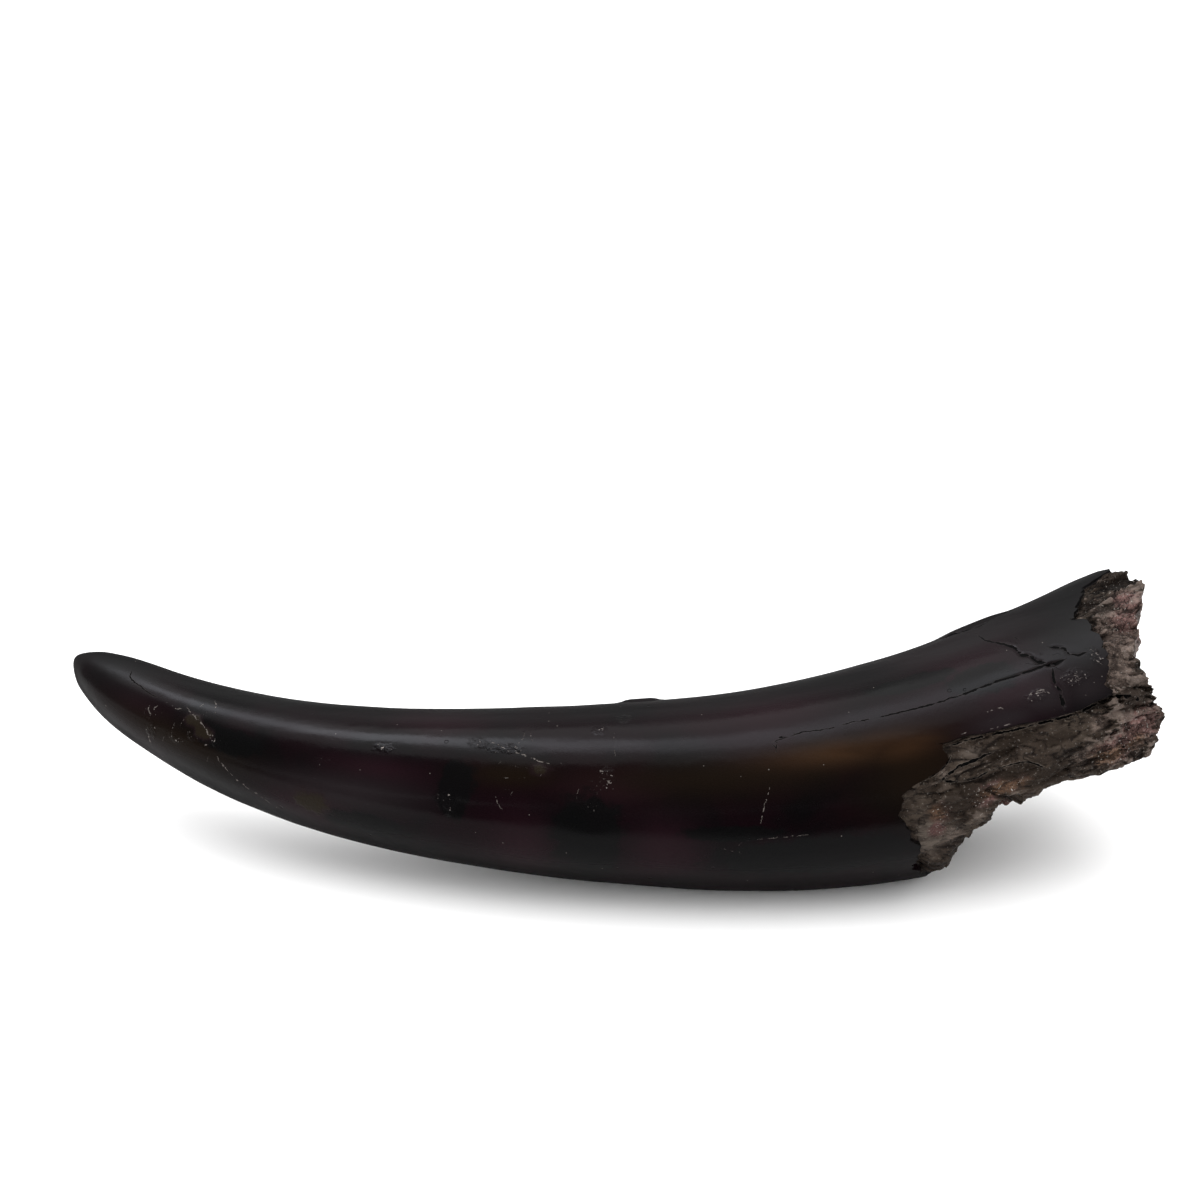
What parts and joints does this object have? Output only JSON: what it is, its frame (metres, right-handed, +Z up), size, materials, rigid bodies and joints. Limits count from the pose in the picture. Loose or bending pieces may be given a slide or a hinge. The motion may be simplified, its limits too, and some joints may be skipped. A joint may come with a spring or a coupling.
{
  "type": "fossil deinothere tusk",
  "caption": "Short curved fossil tusk lying on its side, tapering from a broken oblique root to a rounded tip, with dark polished skin and bare dentine at the break.",
  "frame": {"origin": "centre of the bounding box in plan, at ground level under the belly", "axes": "+X from the tip toward the broken root, +Z up, -Y the front with the long ledge and the cracks, +Y the side both ends bow toward"},
  "size_m": [0.484, 0.1514, 0.1242],
  "materials": {
    "fossil": "polished near-black mineralised skin, duller grey-brown dentine where the root is broken"
  },
  "bodies": {
    "root": {"tusk": "fossil"}
  },
  "joints": []
}
